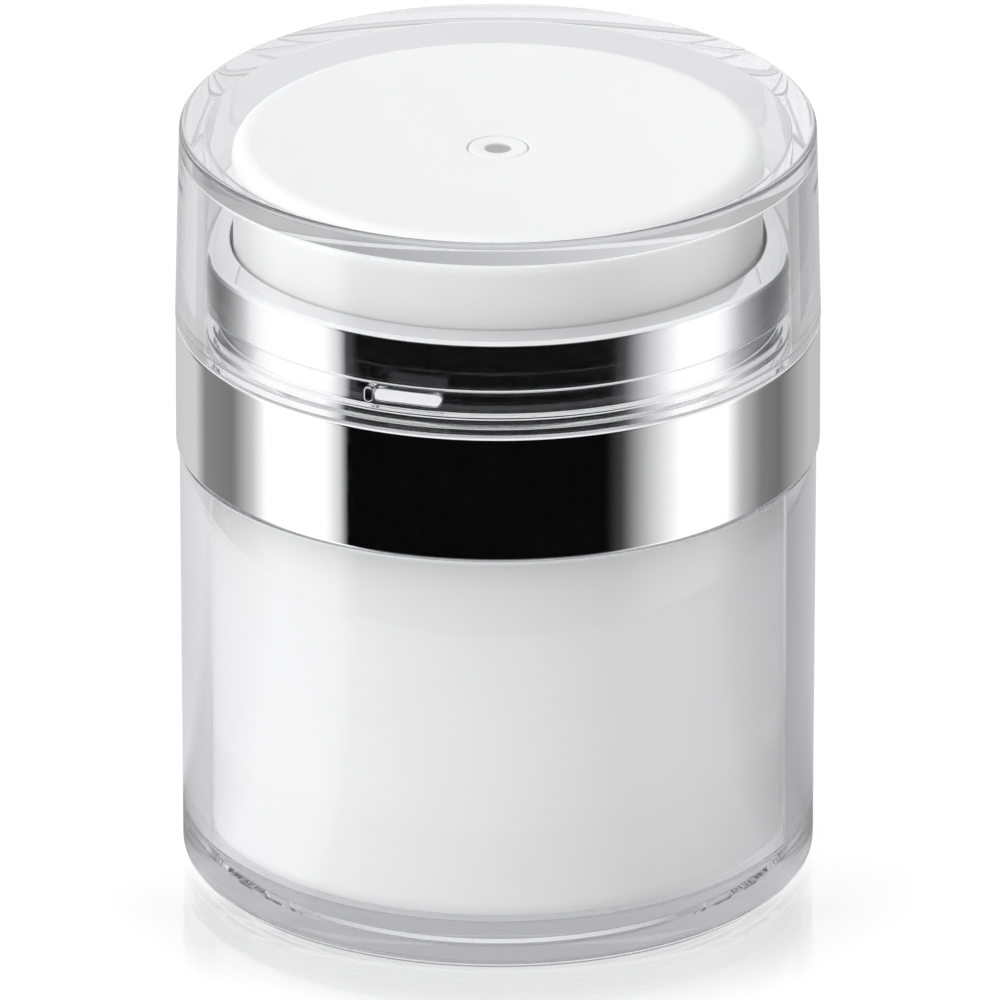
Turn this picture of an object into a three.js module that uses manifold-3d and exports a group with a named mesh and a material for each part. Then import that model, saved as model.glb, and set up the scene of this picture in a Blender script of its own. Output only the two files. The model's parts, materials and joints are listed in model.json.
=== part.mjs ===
// Airless pump jar, 50 ml: a clear double-wall jar with a white inner cup, a plated shoulder,
// a press-disc pump and a clear lift-off cap. Millimetres, +Z up, origin at the centre of the foot.
import * as THREE from 'three';
import { mergeVertices } from 'three/addons/utils/BufferGeometryUtils.js';
import Module from 'manifold-3d';

// Clearances
const SEAT = 0.3; // between two faces that rest on each other
const SLIP = 0.3; // between a sliding or press-fitted piece and its bore
const THREAD_SLIP = 0.35; // between the two plain walls that carry the screw thread
const EMBED = 0.4; // how far a rib or lug reaches into the wall that carries it

// Clear outer jar
const JAR_RADIUS = 32; // outside, at the top of the body
const JAR_DRAFT = 0.2; // how much smaller the foot is
const JAR_WALL = 3;
const JAR_BASE = 4.4;
const JAR_BODY_HEIGHT = 44.7;
const JAR_NECK_HEIGHT = 2.9;
const JAR_NECK_WALL = 1.5;
const JAR_FOOT_FILLET = 3.2;
const JAR_CAVITY_FILLET = 2;
const FOOT_RING_WIDTH = 3.6;
const FOOT_RECESS = 0.5;
const VENT_RADIUS = 1.25; // air way under the follower, through the floor of the cup

// White inner cup
const CUP_WALL = 1.3;
const CUP_FLOOR = 1.5;
const CUP_FILLET = 1;
const CUP_FLANGE = 1.2;
const CUP_NECK_HEIGHT = 5.8;
const CUP_NECK_INSET = 0.2; // thread wall inside the body's outer radius

// Follower piston
const FOLLOWER_HEIGHT = 10;
const FOLLOWER_LIP = 1.2;
const FOLLOWER_WAIST = 0.7; // how far the barrel stands back from the lips
const FOLLOWER_WALL = 1.4;
const FOLLOWER_DISH = 1.2;
const FOLLOWER_WELL_RADIUS = 6; // clears the inlet valve at the end of the stroke
const FOLLOWER_WELL_DEPTH = 2.4;

// Closure, its liner and the shoulder
const LINER_THICKNESS = 0.6;
const CLOSURE_DECK = 0.9;
const CLOSURE_SKIRT = 1.3;
const PLUG_WALL = 1.3;
const DISH_DEPTH = 16;
const DISH_FLOOR = 1.3;
const GUSSET_COUNT = 6;
const GUSSET_THICKNESS = 1;
const GUSSET_HEIGHT = 7;
const COLLAR_PROUD = 0.35; // collar outside the jar's wall
const SHOULDER_LEDGE = 1;
const NECK_INSET = 2.7; // neck inside the jar's wall
const NECK_WALL = 1.2;
const NECK_HEIGHT = 9.3;
const NECK_CROWN = 0.5; // rise of the top face towards the disc
const NECK_LIP = 1.2;
const BEAD_HEIGHT = 1.4; // plain band between the ledge and the lug groove
const GROOVE_HEIGHT = 2.4;
const GROOVE_DEPTH = 0.45;
const LUG_COUNT = 3;
const LUG_LENGTH = 7.8;
const LUG_HEIGHT = 1.5;
const LUG_BEARING = THREE.MathUtils.degToRad(-108); // first lug, left of the front

// Press disc and nozzle
const PRESS_TRAVEL = 5;
const DISC_INSET = 2.65; // disc inside the neck's outer radius
const DISC_RISE = 7.7; // rim above the neck
const DISC_DISH = 1.3;
const DISC_THICKNESS = 1.6;
const DISC_FILLET = 2.4;
const DISC_SKIRT = 1.25;
const DISC_BEAD = 0.75; // retaining bead, proud of the skirt
const DISC_BEAD_HEIGHT = 1.1;
const DISC_RIB_COUNT = 6;
const DISC_RIB_THICKNESS = 1;
const DISC_RIB_HEIGHT = 3;
const STOP_GAP = 0.8; // left under the pressed disc
const SOCKET_WALL = 1.1;
const NOZZLE_HEIGHT = 2.9;
const NOZZLE_DISH = 0.8;
const OUTLET_RADIUS = 1.35;
const OUTLET_VALVE_HEIGHT = 0.9;
const OUTLET_VALVE_NUB = 1.1;
const OUTLET_PASSAGES = 3;
const OUTLET_PASSAGE_RADIUS = 0.5;

// Pump engine
const STEM_RADIUS = 3;
const STEM_BORE = 1.5;
const STEM_FOOT_RADIUS = 4.6;
const STEM_FOOT = 1;
const PISTON_HEIGHT = 4.7;
const PISTON_LIP = 1;
const PISTON_WAIST = 0.8;
const CYLINDER_BORE = 6;
const CYLINDER_WALL = 1.1;
const CYLINDER_FLOOR = 1.2;
const CYLINDER_FLANGE = 2.3; // beyond the barrel
const CYLINDER_GASKET = 0.6;
const SPIGOT_RADIUS = 4.1;
const SPIGOT_DROP = 0.4; // below the dish
const PORT_RADIUS = 2.2;
const SEAT_CAP_PLATE = 1;
const SEAT_CAP_SKIRT = 4.5;
const SEAT_CAP_WALL = 1.1;
const SPRING_WIRE = 1;
const SPRING_TURNS = 5;
const VALVE_HEAD_RADIUS = 3.4;
const VALVE_HEAD = 0.7;
const VALVE_LIFT = 0.8;
const VALVE_LEGS = 3;
const VALVE_LEG_WIDTH = 1;
const VALVE_LEG_THICKNESS = 0.8;
const VALVE_HOOK = 0.5;
const VALVE_HOOK_HEIGHT = 0.6;

// Cap
const CAP_WALL = 2.75; // at the mouth
const CAP_DRAFT = 0.5; // outside, from mouth to top
const CAP_BORE_DRAFT = 0.2;
const CAP_TOP = 3;
const CAP_HEADROOM = 0.7; // over the rim of the disc
const CAP_FILLET = 1.2;
const CAP_SLIP = 0.35;

// Small roundings, and facets
const EDGE = 0.3;
const CORNER = 0.9;
const LARGE_SIDES = 36;
const SMALL_SIDES = 24;
const CHORD = 0.06; // how far a facet may stand inside the arc of a fillet
const FILLET_SHARE = 0.45; // most of a straight run that one fillet may take
const WELD = 1e-4; // vertices closer than this are one
const DISH_STEPS = 4;
const LUG_END_STEPS = 4;
const PASSAGE_SIDES = 8;
const WIRE_SIDES = 6;
const TURN_STEPS = 10;

// Radii that follow from them
const footRadius = JAR_RADIUS - JAR_DRAFT;
const cavityRadius = JAR_RADIUS - JAR_WALL;
const jarNeckRadius = cavityRadius + JAR_NECK_WALL;
const cupRadius = cavityRadius - SLIP;
const cupBore = cupRadius - CUP_WALL;
const cupNeckRadius = cupRadius - CUP_NECK_INSET;
const followerRadius = cupBore - SLIP;
const plugRadius = cupBore - SLIP;
const plugBore = plugRadius - PLUG_WALL;
const skirtBore = cupNeckRadius + THREAD_SLIP;
const collarRadius = JAR_RADIUS + COLLAR_PROUD;
const collarBore = Math.max(jarNeckRadius, skirtBore + CLOSURE_SKIRT) + SLIP;
const neckRadius = JAR_RADIUS - NECK_INSET;
const neckBore = neckRadius - NECK_WALL;
const discRadius = neckRadius - DISC_INSET;
const discBore = discRadius - DISC_SKIRT;
const neckMouth = discRadius + SLIP;
const capBore = neckRadius + CAP_SLIP;
const capRadius = capBore + CAP_WALL;
const stemSocket = STEM_RADIUS + SLIP;
const socketRadius = stemSocket + SOCKET_WALL;
const barrelRadius = CYLINDER_BORE + CYLINDER_WALL;
const flangeRadius = barrelRadius + CYLINDER_FLANGE;
const dishHole = SPIGOT_RADIUS + SLIP;
const seatCapRadius = barrelRadius + SLIP + SEAT_CAP_WALL;
const springRadius = socketRadius + SLIP + SPRING_WIRE;

// Heights, stacked from the foot up
const jarNeckTop = JAR_BODY_HEIGHT + JAR_NECK_HEIGHT;
const cupBottom = JAR_BASE + SEAT;
const cupFloorTop = cupBottom + CUP_FLOOR;
const cupFlangeBottom = jarNeckTop + SEAT;
const cupFlangeTop = cupFlangeBottom + CUP_FLANGE;
const cupTop = cupFlangeTop + CUP_NECK_HEIGHT;
const linerBottom = cupTop + SEAT;
const deckBottom = linerBottom + LINER_THICKNESS + SEAT;
const deckTop = deckBottom + CLOSURE_DECK;
const ledgeBottom = deckTop + SEAT;
const ledgeTop = ledgeBottom + SHOULDER_LEDGE;
const neckTop = ledgeTop + NECK_HEIGHT;
const neckLipBottom = neckTop - NECK_LIP;
const dishBottom = deckTop - DISH_DEPTH;
const dishTop = dishBottom + DISH_FLOOR;
const cylinderGasketBottom = dishTop + SEAT;
const cylinderBottom = cylinderGasketBottom + CYLINDER_GASKET + SEAT;
const cylinderFloorTop = cylinderBottom + CYLINDER_FLOOR;
const spigotBottom = dishBottom - SPIGOT_DROP;
const valveBottom = cylinderFloorTop + SEAT;
const valveTop = valveBottom + VALVE_HEAD;
const stemBottom = valveTop + VALVE_LIFT + SEAT + PRESS_TRAVEL;
const pistonBottom = stemBottom + STEM_FOOT + SEAT;
const pistonTop = pistonBottom + PISTON_HEIGHT;
const cylinderTop = pistonTop;
const seatCapBottom = cylinderTop + SEAT;
const seatCapTop = seatCapBottom + SEAT_CAP_PLATE;
const discCrest = neckTop + DISC_RISE;
const discCentre = discCrest - DISC_DISH;
const discSkirtBottom = deckTop + PRESS_TRAVEL + STOP_GAP;
const discBeadTop = neckLipBottom - SEAT;
const socketBottom = seatCapTop + PRESS_TRAVEL + STOP_GAP;
const nozzleBottom = discCentre - NOZZLE_HEIGHT;
const outletValveBottom = nozzleBottom - SEAT - OUTLET_VALVE_HEIGHT;
const stemTop = outletValveBottom - SEAT;
const springBottom = seatCapTop + SEAT;
const springTop = discTopAt(springRadius) - DISC_THICKNESS - SEAT;
const capBottom = ledgeTop + SEAT;
const capCeiling = discCrest + CAP_HEADROOM;
const capTop = capCeiling + CAP_TOP;

const wasm = await Module();
wasm.setup();

// Height of the press disc's dished top at a radius.
function discTopAt(radius) {
  return discCentre + DISC_DISH * (radius / discRadius) ** 2;
}

// One corner of a turned profile: radius, height and the fillet that rounds it.
function corner(radius, height, fillet = 0) {
  return { at: new THREE.Vector2(radius, height), fillet };
}

// Points along a profile. Each filleted corner becomes an arc that touches both of its straight runs,
// limited by the shorter of the two.
function rounded(corners) {
  const points = [];
  corners.forEach(({ at, fillet }, i) => {
    const before = corners[(i + corners.length - 1) % corners.length].at;
    const after = corners[(i + 1) % corners.length].at;
    const back = before.clone().sub(at);
    const ahead = after.clone().sub(at);
    const half = Math.acos(back.dot(ahead) / (back.length() * ahead.length())) / 2;
    const room = FILLET_SHARE * Math.min(back.length(), ahead.length());
    const reach = Math.min(fillet / Math.tan(half), room);
    if (!fillet || !(reach > 0)) {
      points.push(at.clone());
      return;
    }
    const radius = reach * Math.tan(half);
    const bisector = back.clone().normalize().add(ahead.clone().normalize()).normalize();
    const centre = at.clone().addScaledVector(bisector, radius / Math.sin(half));
    const first = at.clone().addScaledVector(back.normalize(), reach).sub(centre);
    const turn = Math.PI - 2 * half;
    const side = Math.sign(first.cross(at.clone().sub(centre)));
    const steps = Math.max(1, Math.ceil(turn / (2 * Math.acos(1 - Math.min(1, CHORD / radius)))));
    for (let step = 0; step <= steps; step += 1) {
      points.push(first.clone().rotateAround(new THREE.Vector2(), (side * turn * step) / steps).add(centre));
    }
  });
  return points;
}

// A solid from any closed geometry, with its shared vertices merged and its flat slivers dropped.
function solidOf(geometry) {
  geometry.deleteAttribute('normal');
  geometry.deleteAttribute('uv');
  const merged = mergeVertices(geometry, WELD);
  const triangles = [];
  const index = merged.index.array;
  for (let i = 0; i < index.length; i += 3) {
    const [a, b, c] = index.slice(i, i + 3);
    if (a !== b && b !== c && c !== a) triangles.push(a, b, c);
  }
  return new wasm.Manifold(
    new wasm.Mesh({
      numProp: 3,
      vertProperties: merged.attributes.position.array,
      triVerts: new Uint32Array(triangles),
    }),
  );
}

// A solid of revolution about Z. The profile runs outwards below, up outside and inwards above;
// it either closes on itself or starts and ends on the axis.
function turned(corners, sides) {
  const points = rounded(corners);
  if (points[0].x > 0) points.push(points[0].clone());
  return solidOf(new THREE.LatheGeometry(points, sides).rotateX(Math.PI / 2));
}

// A plate that stands on edge along a bearing, from its outline in radius and height.
function fin(outline, thickness, bearing) {
  const shape = new THREE.Shape(outline.map(([radius, height]) => new THREE.Vector2(radius, height)));
  const plate = new THREE.ExtrudeGeometry(shape, { depth: thickness, bevelEnabled: false });
  return solidOf(plate.translate(0, 0, -thickness / 2).rotateX(Math.PI / 2).rotateZ(bearing));
}

// The bearings of evenly spaced copies.
function bearings(count, first = 0) {
  return Array.from({ length: count }, (_, i) => first + (i * 2 * Math.PI) / count);
}

// A ring of rectangular section.
function ring(inner, outer, bottom, top, sides) {
  const section = [corner(inner, bottom), corner(outer, bottom), corner(outer, top), corner(inner, top)];
  return turned(section, sides);
}

function outerJar() {
  const ringInner = footRadius - JAR_FOOT_FILLET - FOOT_RING_WIDTH;
  return turned(
    [
      corner(0, FOOT_RECESS),
      corner(ringInner - FOOT_RECESS, FOOT_RECESS),
      corner(ringInner, 0),
      corner(footRadius, 0, JAR_FOOT_FILLET),
      corner(JAR_RADIUS, JAR_BODY_HEIGHT, EDGE),
      corner(jarNeckRadius, JAR_BODY_HEIGHT),
      corner(jarNeckRadius, jarNeckTop, EDGE),
      corner(cavityRadius, jarNeckTop),
      corner(cavityRadius, JAR_BASE, JAR_CAVITY_FILLET),
      corner(0, JAR_BASE),
    ],
    LARGE_SIDES,
  );
}

function innerCup() {
  return turned(
    [
      corner(VENT_RADIUS, cupBottom),
      corner(cupRadius, cupBottom, JAR_CAVITY_FILLET),
      corner(cupRadius, cupFlangeBottom),
      corner(jarNeckRadius, cupFlangeBottom),
      corner(jarNeckRadius, cupFlangeTop),
      corner(cupNeckRadius, cupFlangeTop),
      corner(cupNeckRadius, cupTop, EDGE),
      corner(cupBore, cupTop),
      corner(cupBore, cupFloorTop, CUP_FILLET),
      corner(VENT_RADIUS, cupFloorTop),
    ],
    LARGE_SIDES,
  );
}

// Two wiping lips on a waisted barrel, closed by a web with a well for the inlet valve.
function followerPiston() {
  const bottom = cupFloorTop + SEAT;
  const top = bottom + FOLLOWER_HEIGHT;
  const barrel = followerRadius - FOLLOWER_WAIST;
  const bore = barrel - FOLLOWER_WALL;
  const webTop = top - FOLLOWER_DISH;
  const webBottom = webTop - FOLLOWER_WALL;
  const wellTop = webTop - FOLLOWER_WELL_DEPTH;
  const wellBottom = wellTop - FOLLOWER_WALL;
  const wellOutside = FOLLOWER_WELL_RADIUS + FOLLOWER_WALL;
  const flare = FOLLOWER_LIP + FOLLOWER_WAIST;
  return turned(
    [
      corner(0, wellBottom),
      corner(wellOutside, wellBottom),
      corner(wellOutside, webBottom),
      corner(bore, webBottom, CORNER),
      corner(bore, bottom + CUP_FILLET + flare),
      corner(bore + FOLLOWER_WAIST - CUP_FILLET / 2, bottom),
      corner(followerRadius - CUP_FILLET, bottom),
      corner(followerRadius, bottom + CUP_FILLET),
      corner(followerRadius, bottom + CUP_FILLET + FOLLOWER_LIP),
      corner(barrel, bottom + CUP_FILLET + flare),
      corner(barrel, top - flare),
      corner(followerRadius, top - FOLLOWER_LIP),
      corner(followerRadius, top),
      corner(bore + FOLLOWER_WAIST, top),
      corner(bore, webTop),
      corner(FOLLOWER_WELL_RADIUS, webTop),
      corner(FOLLOWER_WELL_RADIUS, wellTop),
      corner(0, wellTop),
    ],
    LARGE_SIDES,
  );
}

// Soft liner between the rim of the cup and the deck of the closure.
function closureLiner() {
  return ring(cupBore, cupNeckRadius, linerBottom, linerBottom + LINER_THICKNESS, LARGE_SIDES);
}

// Screw skirt outside the cup's neck, plug wall inside it, and a deep dish that holds the pump engine.
function pumpClosure() {
  const skirtRadius = skirtBore + CLOSURE_SKIRT;
  const skirtBottom = cupFlangeTop + SEAT;
  const shell = turned(
    [
      corner(dishHole, dishBottom),
      corner(plugRadius, dishBottom, CORNER),
      corner(plugRadius, deckBottom),
      corner(skirtBore, deckBottom),
      corner(skirtBore, skirtBottom),
      corner(skirtRadius, skirtBottom),
      corner(skirtRadius, deckTop, EDGE),
      corner(plugBore, deckTop),
      corner(plugBore, dishTop, CORNER),
      corner(dishHole, dishTop),
    ],
    LARGE_SIDES,
  );
  const inner = flangeRadius + SEAT;
  const outer = plugBore + EMBED;
  const gusset = [
    [inner, dishTop - EMBED],
    [outer, dishTop - EMBED],
    [outer, dishTop + GUSSET_HEIGHT],
    [plugBore - EMBED, dishTop + GUSSET_HEIGHT],
    [inner, dishTop + EMBED],
  ];
  return bearings(GUSSET_COUNT).reduce(
    (whole, bearing) => whole.add(fin(gusset, GUSSET_THICKNESS, bearing)),
    shell,
  );
}

// Plated collar, ledge and neck in one moulding, with rounded lugs in the neck's groove for the cap.
function shoulder() {
  const collarBottom = JAR_BODY_HEIGHT + SEAT;
  const grooveBottom = ledgeTop + BEAD_HEIGHT;
  const grooveTop = grooveBottom + GROOVE_HEIGHT;
  const grooveRadius = neckRadius - GROOVE_DEPTH;
  const shell = turned(
    [
      corner(collarBore, collarBottom),
      corner(collarRadius, collarBottom, EDGE),
      corner(collarRadius, ledgeTop, EDGE),
      corner(neckRadius, ledgeTop),
      corner(neckRadius, grooveBottom),
      corner(grooveRadius, grooveBottom),
      corner(grooveRadius, grooveTop),
      corner(neckRadius, grooveTop),
      corner(neckRadius, neckTop, EDGE),
      corner(neckMouth, neckTop + NECK_CROWN),
      corner(neckMouth, neckLipBottom),
      corner(neckBore, neckLipBottom),
      corner(neckBore, ledgeBottom),
      corner(collarBore, ledgeBottom),
    ],
    LARGE_SIDES,
  );
  const band = ring(grooveRadius - EMBED, neckRadius, grooveBottom, grooveTop, LARGE_SIDES);
  const lugCentre = (grooveBottom + grooveTop) / 2;
  return bearings(LUG_COUNT, LUG_BEARING).reduce(
    (whole, bearing) => whole.add(band.intersect(lugBlank(lugCentre, bearing))),
    shell,
  );
}

// A bar with round ends that stands out from the neck at one bearing.
function lugBlank(height, bearing) {
  const end = LUG_HEIGHT / 2;
  const run = LUG_LENGTH / 2 - end;
  const pill = new THREE.Shape();
  pill.absarc(run, 0, end, -Math.PI / 2, Math.PI / 2);
  pill.absarc(-run, 0, end, Math.PI / 2, (3 * Math.PI) / 2);
  const bar = new THREE.ExtrudeGeometry(pill, { depth: neckRadius, bevelEnabled: false, curveSegments: LUG_END_STEPS });
  const outwards = bar.rotateX(Math.PI / 2).rotateZ(Math.PI / 2 + bearing);
  return solidOf(outwards.translate(0, 0, height));
}

function cylinderGasket() {
  const inner = dishHole;
  return ring(inner, flangeRadius, cylinderGasketBottom, cylinderGasketBottom + CYLINDER_GASKET, SMALL_SIDES);
}

function pumpCylinder() {
  return turned(
    [
      corner(PORT_RADIUS, spigotBottom),
      corner(SPIGOT_RADIUS, spigotBottom, EDGE),
      corner(SPIGOT_RADIUS, cylinderBottom),
      corner(flangeRadius, cylinderBottom),
      corner(flangeRadius, cylinderFloorTop),
      corner(barrelRadius, cylinderFloorTop),
      corner(barrelRadius, cylinderTop),
      corner(CYLINDER_BORE, cylinderTop),
      corner(CYLINDER_BORE, cylinderFloorTop),
      corner(PORT_RADIUS, cylinderFloorTop),
    ],
    SMALL_SIDES,
  );
}

// Snap cap over the cylinder: it guides the stem, stops the piston and carries the spring.
function springSeat() {
  const bore = barrelRadius + SLIP;
  const skirtBottom = seatCapBottom - SEAT_CAP_SKIRT;
  return turned(
    [
      corner(stemSocket, seatCapBottom),
      corner(bore, seatCapBottom),
      corner(bore, skirtBottom),
      corner(seatCapRadius, skirtBottom),
      corner(seatCapRadius, seatCapTop, EDGE),
      corner(stemSocket, seatCapTop),
    ],
    SMALL_SIDES,
  );
}

// A poppet: flat head over the port and hooked legs that limit its lift.
function inletValve() {
  const outer = PORT_RADIUS - SLIP;
  const inner = outer - VALVE_LEG_THICKNESS;
  const hookTop = spigotBottom - VALVE_LIFT - SEAT;
  const hookBottom = hookTop - VALVE_HOOK_HEIGHT;
  const head = turned(
    [
      corner(0, valveBottom),
      corner(VALVE_HEAD_RADIUS, valveBottom),
      corner(VALVE_HEAD_RADIUS, valveTop, EDGE),
      corner(0, valveTop),
    ],
    SMALL_SIDES,
  );
  const leg = [
    [inner, hookBottom],
    [outer, hookBottom],
    [PORT_RADIUS + VALVE_HOOK, hookTop],
    [outer, hookTop],
    [outer, valveBottom + EMBED],
    [inner, valveBottom + EMBED],
  ];
  return bearings(VALVE_LEGS).reduce(
    (whole, bearing) => whole.add(fin(leg, VALVE_LEG_WIDTH, bearing)),
    head,
  );
}

// Waisted piston with a lip at each end, a slip fit on the stem above its foot.
function pumpPiston() {
  const lip = CYLINDER_BORE - SLIP;
  const waist = lip - PISTON_WAIST;
  const flare = PISTON_LIP + PISTON_WAIST;
  return turned(
    [
      corner(stemSocket, pistonBottom),
      corner(lip, pistonBottom),
      corner(lip, pistonBottom + PISTON_LIP),
      corner(waist, pistonBottom + flare),
      corner(waist, pistonTop - flare),
      corner(lip, pistonTop - PISTON_LIP - SEAT),
      corner(lip, pistonTop - SEAT),
      corner(stemSocket, pistonTop - SEAT),
    ],
    SMALL_SIDES,
  );
}

function pumpStem() {
  const footTop = stemBottom + STEM_FOOT;
  return turned(
    [
      corner(STEM_BORE, stemBottom),
      corner(STEM_FOOT_RADIUS, stemBottom),
      corner(STEM_FOOT_RADIUS, footTop),
      corner(STEM_RADIUS, footTop),
      corner(STEM_RADIUS, stemTop, EDGE),
      corner(STEM_BORE, stemTop),
    ],
    SMALL_SIDES,
  );
}

// The path of the spring's wire, from its lowest centre to its highest.
class Coil extends THREE.Curve {
  getPoint(t, target = new THREE.Vector3()) {
    const bearing = t * SPRING_TURNS * 2 * Math.PI;
    const low = springBottom + SPRING_WIRE / 2;
    const high = springTop - SPRING_WIRE / 2;
    return target.set(
      springRadius * Math.cos(bearing),
      springRadius * Math.sin(bearing),
      THREE.MathUtils.lerp(low, high, t),
    );
  }
}

function returnSpring() {
  const coil = new Coil();
  const steps = SPRING_TURNS * TURN_STEPS;
  const section = new THREE.Shape(
    bearings(WIRE_SIDES).map((b) => new THREE.Vector2(Math.cos(b), Math.sin(b)).multiplyScalar(SPRING_WIRE / 2)),
  );
  const centres = coil.getPoints(steps);
  let least = Infinity;
  for (let i = 0; i + TURN_STEPS / 2 <= steps; i += 1) {
    for (let j = i + TURN_STEPS / 2; j <= steps; j += 1) {
      least = Math.min(least, centres[i].distanceTo(centres[j]) - SPRING_WIRE);
    }
  }
  console.log(`return_spring: least gap between turns ${least.toFixed(2)} mm`);
  return solidOf(new THREE.ExtrudeGeometry(section, { steps, extrudePath: coil, bevelEnabled: false }));
}

// White disc with a dished top, a skirt with a retaining bead, a socket for the stem and radial ribs.
function pressDisc() {
  const beadRadius = discRadius + DISC_BEAD;
  const beadBottom = discBeadTop - DISC_BEAD_HEIGHT;
  const underAt = (radius) => discTopAt(radius) - DISC_THICKNESS;
  const along = (from, to, heightAt) =>
    Array.from({ length: DISH_STEPS - 1 }, (_, i) => {
      const radius = THREE.MathUtils.lerp(from, to, (i + 1) / DISH_STEPS);
      return corner(radius, heightAt(radius));
    });
  const shell = turned(
    [
      corner(stemSocket, socketBottom),
      corner(socketRadius, socketBottom),
      corner(socketRadius, underAt(socketRadius)),
      ...along(socketRadius, discBore, underAt),
      corner(discBore, underAt(discBore), CORNER),
      corner(discBore, discSkirtBottom),
      corner(discRadius, discSkirtBottom),
      corner(discRadius, beadBottom - DISC_BEAD),
      corner(beadRadius, beadBottom),
      corner(beadRadius, discBeadTop),
      corner(discRadius, discBeadTop),
      corner(discRadius, discCrest, DISC_FILLET),
      ...along(discRadius, stemSocket, discTopAt),
      corner(stemSocket, discCentre),
    ],
    LARGE_SIDES,
  );
  const ribInner = springRadius + SPRING_WIRE;
  const ribOuter = discBore + EMBED;
  const rib = [
    [ribInner, underAt(ribInner) + EMBED],
    [ribInner, underAt(ribInner) - DISC_RIB_HEIGHT],
    [ribOuter, underAt(ribInner) - DISC_RIB_HEIGHT],
    [ribOuter, underAt(ribOuter) + EMBED],
  ];
  return bearings(DISC_RIB_COUNT).reduce(
    (whole, bearing) => whole.add(fin(rib, DISC_RIB_THICKNESS, bearing)),
    shell,
  );
}

// Insert in the middle of the disc, with a dished face and the outlet hole.
function outletNozzle() {
  const chamber = STEM_RADIUS - SOCKET_WALL;
  const webBottom = discCentre - NOZZLE_DISH - SOCKET_WALL;
  return turned(
    [
      corner(chamber, nozzleBottom),
      corner(STEM_RADIUS, nozzleBottom),
      corner(STEM_RADIUS, discCentre, EDGE),
      corner(STEM_RADIUS - EDGE, discCentre),
      corner(OUTLET_RADIUS, discCentre - NOZZLE_DISH),
      corner(OUTLET_RADIUS, webBottom),
      corner(chamber, webBottom),
    ],
    SMALL_SIDES,
  );
}

// Soft valve plate under the nozzle, with a nub that closes the outlet and passages round it.
function outletValve() {
  const plateTop = outletValveBottom + OUTLET_VALVE_HEIGHT;
  const nubRadius = OUTLET_RADIUS - SLIP;
  const plate = turned(
    [
      corner(0, outletValveBottom),
      corner(STEM_RADIUS, outletValveBottom),
      corner(STEM_RADIUS, plateTop),
      corner(nubRadius, plateTop),
      corner(nubRadius, plateTop + OUTLET_VALVE_NUB, EDGE),
      corner(0, plateTop + OUTLET_VALVE_NUB),
    ],
    SMALL_SIDES,
  );
  const reach = (nubRadius + STEM_RADIUS) / 2;
  return bearings(OUTLET_PASSAGES).reduce((whole, bearing) => {
    const radius = OUTLET_PASSAGE_RADIUS;
    const drill = new THREE.CylinderGeometry(radius, radius, 3 * OUTLET_VALVE_HEIGHT, PASSAGE_SIDES);
    const place = [reach * Math.cos(bearing), reach * Math.sin(bearing), outletValveBottom];
    return whole.subtract(solidOf(drill.rotateX(Math.PI / 2).translate(...place)));
  }, plate);
}

function cap() {
  return turned(
    [
      corner(capBore, capBottom, EDGE),
      corner(capRadius, capBottom, EDGE),
      corner(capRadius - CAP_DRAFT, capTop, CAP_FILLET),
      corner(0, capTop),
      corner(0, capCeiling),
      corner(capBore - CAP_BORE_DRAFT, capCeiling, EDGE),
    ],
    LARGE_SIDES,
  );
}

// Finishes
const clearAcrylic = { color: 0xf2f5f7, roughness: 0.04, metalness: 0, transparent: true, opacity: 0.3 };
const whitePlastic = { color: 0xf1f1f0, roughness: 0.3, metalness: 0 };
const platedSilver = { color: 0xc9cacc, roughness: 0.08, metalness: 1 };
const naturalPlastic = { color: 0xe2e2dc, roughness: 0.45, metalness: 0 };
const softSilicone = { color: 0xdcdcd8, roughness: 0.6, metalness: 0 };
const springSteel = { color: 0xa9abad, roughness: 0.3, metalness: 1 };

const pieces = [
  ['outer_jar', outerJar, clearAcrylic],
  ['inner_cup', innerCup, whitePlastic],
  ['follower_piston', followerPiston, naturalPlastic],
  ['closure_liner', closureLiner, softSilicone],
  ['pump_closure', pumpClosure, naturalPlastic],
  ['shoulder', shoulder, platedSilver],
  ['cylinder_gasket', cylinderGasket, softSilicone],
  ['pump_cylinder', pumpCylinder, naturalPlastic],
  ['spring_seat', springSeat, naturalPlastic],
  ['inlet_valve', inletValve, softSilicone],
  ['pump_piston', pumpPiston, naturalPlastic],
  ['pump_stem', pumpStem, naturalPlastic],
  ['return_spring', returnSpring, springSteel],
  ['press_disc', pressDisc, whitePlastic],
  ['outlet_nozzle', outletNozzle, whitePlastic],
  ['outlet_valve', outletValve, softSilicone],
  ['cap', cap, clearAcrylic],
];

const jar = new THREE.Group();
jar.name = 'airless_pump_jar';
for (const [name, make, finish] of pieces) {
  const { vertProperties, triVerts } = make().getMesh();
  const geometry = new THREE.BufferGeometry();
  geometry.setAttribute('position', new THREE.BufferAttribute(vertProperties, 3));
  geometry.setIndex(new THREE.BufferAttribute(triVerts, 1));
  geometry.computeVertexNormals();
  const mesh = new THREE.Mesh(geometry, new THREE.MeshStandardMaterial(finish));
  mesh.name = name;
  jar.add(mesh);
}

export default jar;
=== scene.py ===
"""Airless pump jar: clear jar with a white cup, plated shoulder, white press disc and clear cap.

Outlines are in millimetres, as (radius, height, rounding) corners about the jar's axis. Outside sizes
come from the frame; walls, gaps and roundings are named below.
"""
import json
import math

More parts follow.
